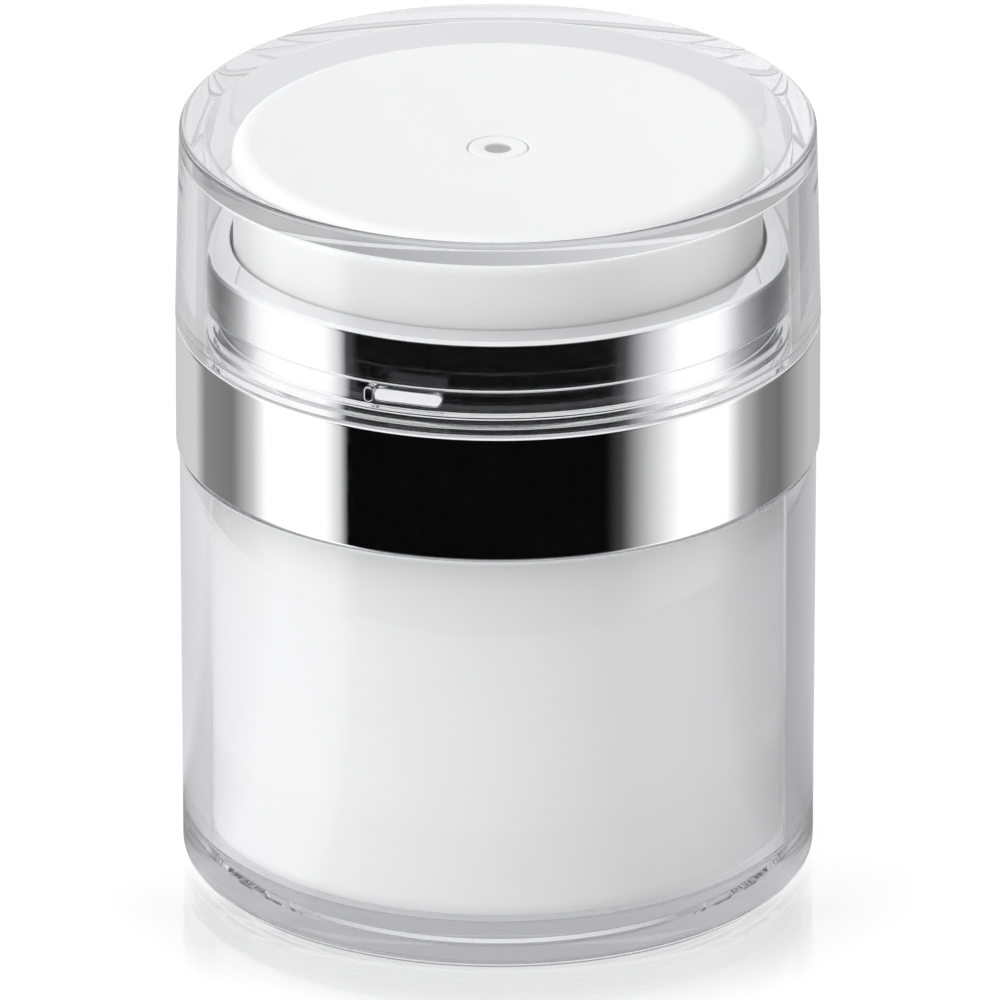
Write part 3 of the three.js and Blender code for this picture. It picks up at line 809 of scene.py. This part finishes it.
def spring_steel():
    finish, tree, shader = new_finish("spring_steel", Metallic=1.0)
    colour = tint(tree, mottle(tree, 500), (0.52, 0.53, 0.54), (0.62, 0.63, 0.64))
    rough = spread(tree, mottle(tree, 3000), 0.18, 0.32)
    join_finish(tree, shader, colour, rough, relief(tree, mottle(tree, 6000), 3e-6))
    return finish


def dress(piece, finish):
    piece.data.materials.clear()
    piece.data.materials.append(finish)


def mount(made, body, node, slot):
    """The pieces stand for their solid, move with its body and have the slot's finish."""
    for piece in made:
        dress(piece, finishes[slot])
        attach(piece, body)
        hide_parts(node)


finishes = {
    "clear_acrylic": clear_acrylic(),
    "white_plastic": white_plastic(),
    "plated_silver": plated_silver(),
    "natural_plastic": natural_plastic(),
    "soft_silicone": soft_silicone(),
    "spring_steel": spring_steel(),
}
for part in frame["record"]["subparts"]:
    dress(frame["nodes"][part["node"]], finishes[part["material_slot"]])

jar = clear_jar()
mount([jar], "jar", "outer_jar", "clear_acrylic")
mount([white_cup()], "jar", "inner_cup", "white_plastic")
mount([follower()], "follower", "follower_piston", "natural_plastic")
mount([washer("liner_ring", "closure_liner", CUP_NECK - CUP_BORE)], "liner", "closure_liner", "soft_silicone")
mount([closure(), *all_round(gusset(), GUSSET_COUNT)], "pump_head", "pump_closure", "natural_plastic")
lugs = all_round(cap_lug(), LUG_COUNT) + all_round(lug_stop(), LUG_COUNT)
mount([plated_shoulder(), *lugs], "pump_head", "shoulder", "plated_silver")
gasket = washer("gasket_ring", "cylinder_gasket", size_of("cylinder_gasket")[0] - DISH_HOLE)
mount([gasket], "pump_head", "cylinder_gasket", "soft_silicone")
mount([cylinder()], "pump_head", "pump_cylinder", "natural_plastic")
mount([spring_cap()], "pump_head", "spring_seat", "natural_plastic")
mount([poppet(), *all_round(poppet_leg(), POPPET_LEGS)], "inlet", "inlet_valve", "soft_silicone")
mount([piston()], "actuator", "pump_piston", "natural_plastic")
mount([stem()], "actuator", "pump_stem", "natural_plastic")
mount([press_disc(), *all_round(disc_rib(), DISC_RIBS)], "actuator", "press_disc", "white_plastic")
mount([outlet_nozzle()], "actuator", "outlet_nozzle", "white_plastic")
cap = clear_cap()
mount([cap], "cap", "cap", "clear_acrylic")
for clear in (jar, cap):
    clear.visible_diffuse = False
    clear.visible_shadow = False

spring = coil_spring()
mount([spring], "actuator", "return_spring", "spring_steel")
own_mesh(spring)

# Floor: its brightness as the camera, the clear walls and the plating show it
FLOOR_SIZE = 6.0
FLOOR_DROP = 0.00003
FLOOR_GLOW = 0.93
FLOOR_SHADE = 0.1
FLOOR_MATT = 0.85
FLOOR_MIRROR = 0.36
FLOOR_GLOSS = 0.05
# Painted light: the floor round the jar, as its clear wall shows it, runs from lighter at the left to darker
# at the right
PAINTED_LIGHT_IN_WALL = (0.69, 0.29)
FLOOR_IN_CAP = 0.65
FLOOR_IN_METAL = 0.95
# Painted shade: the floor under the jar's foot ring, as the clear walls show it, is darker
PAINTED_SHADE_UNDER_FOOT = 0.42
# Painted glow: the floor under the cup glows for the light that reaches the cup's underside
PAINTED_GLOW_UNDER_CUP = 0.1

# Zones of the floor: full within the first distance from the axis and gone at the second, in millimetres
# Within the recess zone the floor keeps its glow; beyond it, under the foot ring, it takes the painted shade
RECESS_ZONE = (19, 20.5)
# Within the cup zone the floor has its painted glow under the cup
CUP_ZONE = (26, 28)
FOOT_ZONE = (31, 36)
MIRROR_ZONE = (35, 48)

# Strips of the floor before the jar: they begin at the first distance and are full at the second
MIRROR_STRIP = (2, 16)
OPEN_STRIP = (40, 60)

# Rings of card round the jar, with their brightness by bearing in degrees from the front
LINING = (0.955, 0.955, 1.0, 1)
WHITE = (1, 1, 1, 1)
RING_SIDES = 96
TENT_RADIUS = 0.085
TENT_LOW = 0.0125
TENT_REAR = 0.03
TENT_FRONT = 0.08
TENT_BEHIND = math.radians(50)
TENT_FILL = 0.72
TENT_CARDS = [
    (-180, 0.5), (-140, 0.62), (-118, 0.66), (-110, 0.25), (-92, 0.2), (-82, 0.6), (-76, 1.1),
    (-53, 1.15), (-47, 0.6), (-45.7, 0.002), (32, 0.002), (37, 0.06), (45.7, 0.6), (57, 1.15),
    (74, 1.15), (81, 0.52), (91, 0.22), (102, 0.17), (113, 0.37), (128, 0.55), (180, 0.5),
]
NECK_CARD_RADIUS = 0.08
NECK_CARD_REAR = 0.046
NECK_CARD_TOP = 0.084
NECK_CARD_BEHIND = math.radians(60)
NECK_CARDS = [
    (-180, 0.25), (-126, 0.22), (-119, 0.1), (-109, 0.12), (-102, 0.33), (-95, 0.66), (-90, 1.03),
    (-85, 1.15), (-57, 1.15), (-51, 0.6), (-50, 0.002), (36, 0.002), (41, 0.06), (49, 0.6), (60, 1.15),
    (76, 1.15), (80, 1.05), (84, 0.78), (89, 0.5), (93, 0.37), (98, 0.24), (103, 0.14), (113, 0.1),
    (119, 0.12), (126, 0.25), (180, 0.25),
]
FOOT_CARD_RADIUS = 0.036
FOOT_CARD_HEIGHT = 0.0125
FOOT_CARDS = [
    (-180, 0.5), (-110, 0.72), (-75, 0.7), (-55, 0.58), (-35, 0.49), (0, 0.46), (30, 0.42), (60, 0.42),
    (90, 0.46), (120, 0.46), (180, 0.5),
]

# Surround, soft light and camera
KEY_FROM = Vector((-0.72, -0.16, 0.9)).normalized()
LIGHT_LEVEL = 0.42
LIGHT_SLOPE = 1.16
LINING_LEVEL = 0.95
LINING_SLOPE = 0.14
LINING_IN_WALL = 0.5
AIM = Vector((0.2, 0, 37.9)) * MM
LOOKING_DOWN = math.radians(23.1)
DISTANCE = 3.0
LENS = 1073.7
SENSOR = 36

# Light paths: turns inside the clear walls, and the count from which the rim shows an even fill
ALL_TURNS = 48
MIRROR_TURNS = 40
CLEAR_TURNS = 16
FILL_TURNS = 5


def grey(level):
    return level, level, level, 1


def math_node(tree, operation, *values):
    """The result of one sum on sockets or numbers."""
    return add_node(tree, "ShaderNodeMath", dict(enumerate(values)), operation=operation).outputs[0]


def blend(tree, share, first, second):
    """A number between two others, by its share of the second."""
    return add_node(tree, "ShaderNodeMix", {0: share, 2: first, 3: second}).outputs[0]


def light_path(tree, count):
    return add_node(tree, "ShaderNodeLightPath").outputs[count]


def camera_ray(tree):
    return light_path(tree, "Is Camera Ray")


def unlit(tree):
    """1 on rays that met no matt surface on their way from the camera, else 0."""
    return math_node(tree, "LESS_THAN", light_path(tree, "Diffuse Depth"), 0.5)


def bounced(tree, times):
    """1 on rays that have been mirrored so many times, inside a clear wall or on metal, else 0."""
    return math_node(tree, "GREATER_THAN", light_path(tree, "Glossy Depth"), times - 0.5)


def any_wall(tree):
    """1 on rays that have passed through a clear surface, else 0."""
    return math_node(tree, "GREATER_THAN", light_path(tree, "Transmission Depth"), 0.5)


def one_wall(tree):
    """1 on rays that have passed through one clear wall, else 0."""
    return math_node(tree, "COMPARE", light_path(tree, "Transmission Depth"), 2.0, 1.5)


def two_walls(tree):
    """1 on rays that have passed through two clear walls, else 0."""
    return math_node(tree, "GREATER_THAN", light_path(tree, "Transmission Depth"), 3.5)


def gathered(tree):
    """1 on rays that have run along inside one clear wall, else 0."""
    return math_node(tree, "MULTIPLY", bounced(tree, 2), one_wall(tree))


def mirrored_outside(tree):
    """1 on rays that have met nothing but a polished outside, else 0."""
    outside = math_node(tree, "LESS_THAN", light_path(tree, "Transmission Depth"), 0.5)
    return math_node(tree, "MULTIPLY", bounced(tree, 1), outside)


def lining_colour(tree):
    """White for the camera, faintly lilac in the jar's gloss."""
    colours = {0: camera_ray(tree), 6: LINING, 7: WHITE}
    return add_node(tree, "ShaderNodeMix", colours, data_type="RGBA").outputs[2]


def ramp(tree, value, start, end, **settings):
    """A level that runs between two (place, level) ends."""
    ends = {"Value": value, "From Min": start[0], "To Min": start[1], "From Max": end[0], "To Max": end[1]}
    return add_node(tree, "ShaderNodeMapRange", ends, **settings).outputs[0]


def stage_place(tree):
    return add_node(tree, "ShaderNodeTexCoord").outputs["Object"]


def along(tree, axis):
    """How far a place on the stage lies along an axis."""
    return add_node(tree, "ShaderNodeSeparateXYZ", {0: stage_place(tree)}).outputs[axis]


def across(tree, left, right):
    """A level that runs from the jar's left to its right."""
    return ramp(tree, along(tree, "X"), (-TENT_RADIUS, left), (TENT_RADIUS, right))


def in_front(tree, near, far):
    """1 on the floor further to the front than far, falling to 0 at near."""
    return ramp(tree, along(tree, "Y"), (-far * MM, 1.0), (-near * MM, 0.0))


def near_jar(tree, inner, outer):
    """1 within the inner radius of the jar's axis, falling to 0 at the outer one."""
    away = add_node(tree, "ShaderNodeVectorMath", {0: stage_place(tree)}, operation="LENGTH").outputs["Value"]
    return ramp(tree, away, (inner * MM, 1.0), (outer * MM, 0.0), interpolation_type="SMOOTHSTEP")


def card_level(tree, cards):
    """The brightness of a ring of cards by their bearing from the front."""
    turn = {"Vector": stage_place(tree), "Rotation": (0, 0, math.pi / 2)}
    front = add_node(tree, "ShaderNodeMapping", turn).outputs[0]
    bearing = add_node(tree, "ShaderNodeTexGradient", {"Vector": front}, gradient_type="RADIAL").outputs[1]
    levels = add_node(tree, "ShaderNodeValToRGB", {"Fac": bearing})
    stops = levels.color_ramp.elements
    stops.remove(stops[1])
    for i, (degrees, level) in enumerate(cards):
        stop = stops[0] if i == 0 else stops.new(0.5 + degrees / 360)
        stop.position = 0.5 + degrees / 360
        stop.color = grey(level)
    return levels.outputs["Color"]


def bare_material(name):
    """A material without a surface, and its node tree."""
    material = bpy.data.materials.new(name)
    material.use_nodes = True
    material.node_tree.nodes.remove(material.node_tree.nodes["Principled BSDF"])
    return material, material.node_tree


def surface(tree, share, first, second):
    """Gives a material two shaders by the share of the second."""
    whole = add_node(tree, "ShaderNodeMixShader", {0: share, 1: first, 2: second})
    tree.links.new(whole.outputs[0], tree.nodes["Material Output"].inputs["Surface"])


def floor_level(tree):
    """White for the camera; in the clear walls and the plating, a level by the place on the floor, with
    painted shade under the jar's foot ring and painted light round the jar, lighter at the left than at the
    right.
    """
    # Painted shade on the floor under the foot ring, beyond the recess zone
    under = blend(tree, near_jar(tree, *RECESS_ZONE), PAINTED_SHADE_UNDER_FOOT, FLOOR_GLOW)
    # Painted light round the jar beyond the foot zone: lighter at the left, darker at the right
    behind_wall = blend(tree, near_jar(tree, *FOOT_ZONE), across(tree, *PAINTED_LIGHT_IN_WALL), under)
    straight = math_node(tree, "SUBTRACT", 1.0, bounced(tree, 1))
    open_floor = math_node(tree, "MULTIPLY", in_front(tree, *OPEN_STRIP), straight)
    through_wall = blend(tree, open_floor, behind_wall, FLOOR_GLOW)
    through_cap = blend(tree, bounced(tree, 1), FLOOR_IN_CAP, FLOOR_IN_METAL)
    round_cap = blend(tree, bounced(tree, FILL_TURNS), through_cap, TENT_FILL)
    hidden = blend(tree, two_walls(tree), through_wall, round_cap)
    unseen = blend(tree, mirrored_outside(tree), hidden, card_level(tree, TENT_CARDS))
    return blend(tree, camera_ray(tree), unseen, FLOOR_GLOW)


def glossy_floor(tree):
    """The floor as it shows: bright, with the jar's shadow and a faint mirror image before the jar."""
    glow = add_node(tree, "ShaderNodeEmission", {"Color": lining_colour(tree), "Strength": floor_level(tree)})
    shade = add_node(tree, "ShaderNodeBsdfDiffuse", {"Color": grey(FLOOR_SHADE)})
    seen = add_node(tree, "ShaderNodeAddShader", {0: glow.outputs[0], 1: shade.outputs[0]})
    mirror = add_node(tree, "ShaderNodeBsdfGlossy", {"Roughness": FLOOR_GLOSS})
    before_jar = math_node(tree, "MULTIPLY", in_front(tree, *MIRROR_STRIP), FLOOR_MIRROR)
    share = math_node(tree, "MULTIPLY", before_jar, near_jar(tree, *MIRROR_ZONE))
    both = {0: share, 1: seen.outputs[0], 2: mirror.outputs[0]}
    return add_node(tree, "ShaderNodeMixShader", both).outputs[0]


def matt_floor(tree):
    """The floor as it lights the jar, with a painted glow under the cup that stands in for the light that the
    clear base leads there.
    """
    matt = add_node(tree, "ShaderNodeBsdfDiffuse", {"Color": grey(FLOOR_MATT)})
    # A painted glow on the floor under the cup, which lights the cup's underside
    below = math_node(tree, "MULTIPLY", near_jar(tree, *CUP_ZONE), PAINTED_GLOW_UNDER_CUP)
    base = add_node(tree, "ShaderNodeEmission", {"Color": WHITE, "Strength": below})
    return add_node(tree, "ShaderNodeAddShader", {0: matt.outputs[0], 1: base.outputs[0]}).outputs[0]


def white_floor():
    bpy.ops.object.select_all(action="DESELECT")
    bpy.ops.mesh.primitive_plane_add(size=FLOOR_SIZE, location=(0, 0, -FLOOR_DROP))
    floor = bpy.context.object
    floor.name = "white_floor"
    bpy.ops.object.transform_apply(location=True, rotation=True, scale=True)
    material, tree = bare_material("white_floor")
    surface(tree, unlit(tree), matt_floor(tree), glossy_floor(tree))
    dress(floor, material)


def card_ring(name, radius, low, rear, front, behind):
    """An upright ring of card, with one height within an angle behind the jar and another elsewhere."""
    middle = (low + rear) / 2
    bpy.ops.object.select_all(action="DESELECT")
    bpy.ops.mesh.primitive_cylinder_add(
        vertices=RING_SIDES, radius=radius, depth=rear - low,
        end_fill_type="NOTHING", location=(0, 0, middle))
    ring = bpy.context.object
    ring.name = name
    ring.visible_camera = False
    ring.visible_diffuse = False
    ring.visible_shadow = False
    bpy.ops.object.mode_set(mode="EDIT")
    edge = radius * math.cos(behind) + WELD
    pick(ring, lambda spot: spot.z > middle and spot.y < edge)
    bpy.ops.mesh.extrude_region_move(TRANSFORM_OT_translate={"value": (0, 0, front - rear)})
    return finish_mesh(ring)


def dress_cards(ring, colour, level, met):
    """Gives a ring its light, for the rays that meet it; other rays pass."""
    material, tree = bare_material(ring.name)
    card = add_node(tree, "ShaderNodeEmission", {"Color": colour, "Strength": level(tree)})
    clear = add_node(tree, "ShaderNodeBsdfTransparent")
    share = math_node(tree, "MULTIPLY", met(tree), unlit(tree))
    surface(tree, share, clear.outputs[0], card.outputs[0])
    dress(ring, material)


def light_tent():
    """Cards low behind the jar and high elsewhere, which only its polished faces mirror."""
    tent = card_ring("light_tent", TENT_RADIUS, TENT_LOW, TENT_REAR, TENT_FRONT, TENT_BEHIND)
    dress_cards(
        tent, WHITE,
        level=lambda tree: blend(tree, gathered(tree), card_level(tree, TENT_CARDS), TENT_FILL),
        met=lambda tree: math_node(tree, "SUBTRACT", bounced(tree, 1), two_walls(tree)))


def neck_cards():
    """Cards that show only in the plated neck under the cap."""
    ring = card_ring(
        "neck_cards", NECK_CARD_RADIUS, TENT_LOW, NECK_CARD_REAR, NECK_CARD_TOP, NECK_CARD_BEHIND)
    dress_cards(
        ring, WHITE,
        level=lambda tree: blend(tree, bounced(tree, FILL_TURNS), card_level(tree, NECK_CARDS), TENT_FILL),
        met=lambda tree: math_node(tree, "MULTIPLY", bounced(tree, 1), two_walls(tree)))


def foot_card():
    """A ring close round the foot, which only light that has run along inside the clear base meets."""
    ring = card_ring("foot_card", FOOT_CARD_RADIUS, 0, FOOT_CARD_HEIGHT / 2, FOOT_CARD_HEIGHT, 0)
    dress_cards(
        ring, LINING,
        level=lambda tree: card_level(tree, FOOT_CARDS),
        met=lambda tree: math_node(tree, "MULTIPLY", bounced(tree, 1), any_wall(tree)))


def soft_light():
    """A white surround, greyer to the right in the jar's gloss, and soft light from the upper left."""
    world = bpy.data.worlds.new("studio")
    bpy.context.scene.world = world
    world.use_nodes = True
    tree = world.node_tree
    way = {0: add_node(tree, "ShaderNodeTexCoord").outputs["Generated"], 1: KEY_FROM}
    towards = add_node(tree, "ShaderNodeVectorMath", way, operation="DOT_PRODUCT").outputs["Value"]
    slope = math_node(tree, "MULTIPLY_ADD", towards, LIGHT_SLOPE, LIGHT_LEVEL)
    lit = math_node(tree, "MAXIMUM", slope, 0.0)
    lining = math_node(tree, "MULTIPLY_ADD", towards, LINING_SLOPE, LINING_LEVEL)
    around = blend(tree, gathered(tree), lining, LINING_IN_WALL)
    shown = blend(tree, camera_ray(tree), around, 1.0)
    level = blend(tree, unlit(tree), lit, shown)
    tree.nodes["Background"].inputs["Color"].default_value = WHITE
    tree.links.new(level, tree.nodes["Background"].inputs["Strength"])


def photo_camera():
    """A long lens at the front, looking down."""
    lens = bpy.data.cameras.new("camera")
    lens.lens = LENS
    lens.sensor_width = SENSOR
    camera = bpy.data.objects.new("camera", lens)
    camera.location = AIM + DISTANCE * Vector((0, -math.cos(LOOKING_DOWN), math.sin(LOOKING_DOWN)))
    camera.rotation_euler = (math.pi / 2 - LOOKING_DOWN, 0, 0)
    bpy.context.scene.collection.objects.link(camera)
    bpy.context.scene.camera = camera


white_floor()
light_tent()
neck_cards()
foot_card()
soft_light()
photo_camera()
bpy.context.scene.view_settings.view_transform = "Standard"
bpy.context.scene.cycles.max_bounces = ALL_TURNS
bpy.context.scene.cycles.glossy_bounces = MIRROR_TURNS
bpy.context.scene.cycles.transmission_bounces = CLEAR_TURNS
